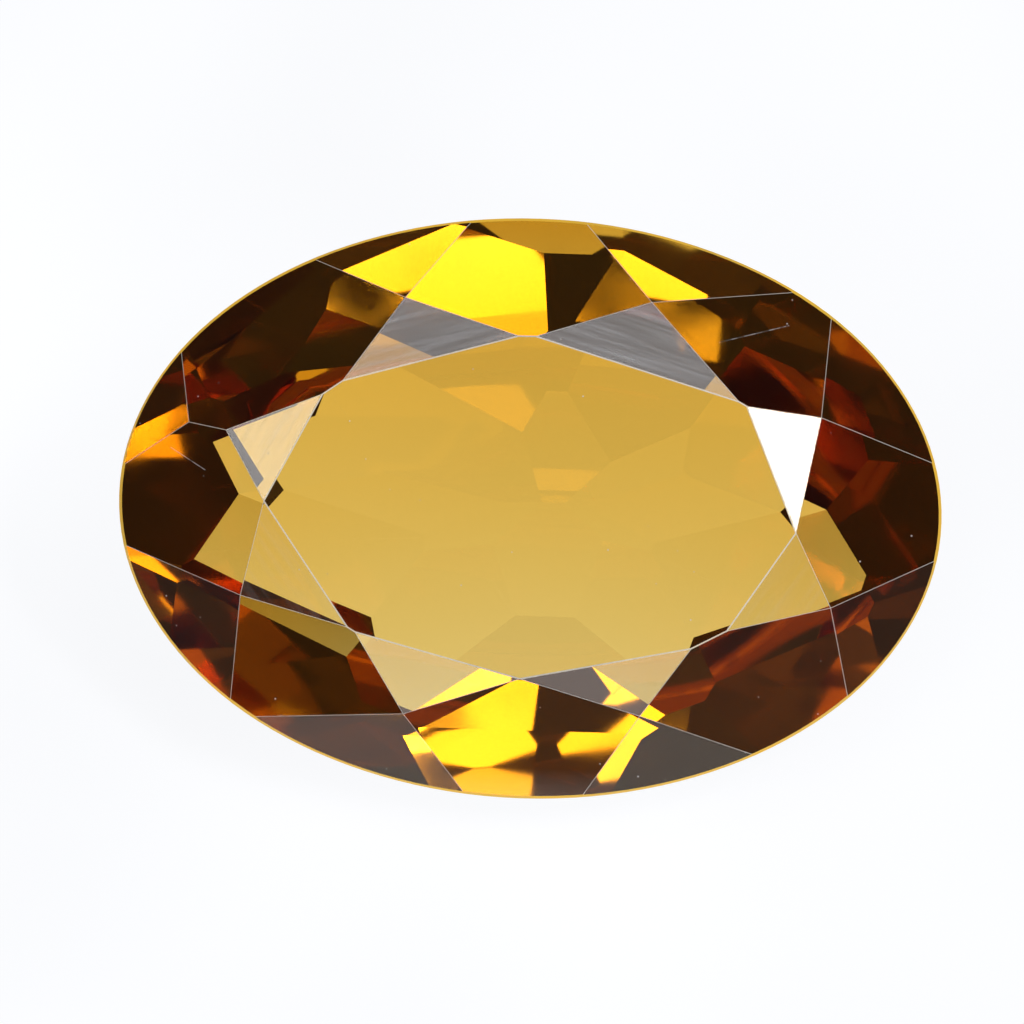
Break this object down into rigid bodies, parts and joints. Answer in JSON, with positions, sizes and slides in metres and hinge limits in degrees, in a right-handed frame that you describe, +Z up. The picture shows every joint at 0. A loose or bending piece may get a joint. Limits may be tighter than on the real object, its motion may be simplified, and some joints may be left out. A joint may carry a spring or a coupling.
{
  "type": "oval faceted gemstone",
  "caption": "Loose oval smoky quartz gemstone with a flat table, bevelled crown, thin girdle and a shallow faceted pavilion.",
  "frame": {"origin": "centre of the bounding box in plan, on the surface that the stone lies on", "axes": "+X along the stone's length, +Z up; the stone lies on one pavilion facet, so its table leans 28 degrees towards -Y"},
  "size_m": [0.0142, 0.009, 0.0063],
  "materials": {
    "smoky_quartz": "polished facets, see-through golden brown, finely worn along the facet edges"
  },
  "bodies": {
    "root": {"gemstone": "smoky_quartz"}
  },
  "joints": []
}
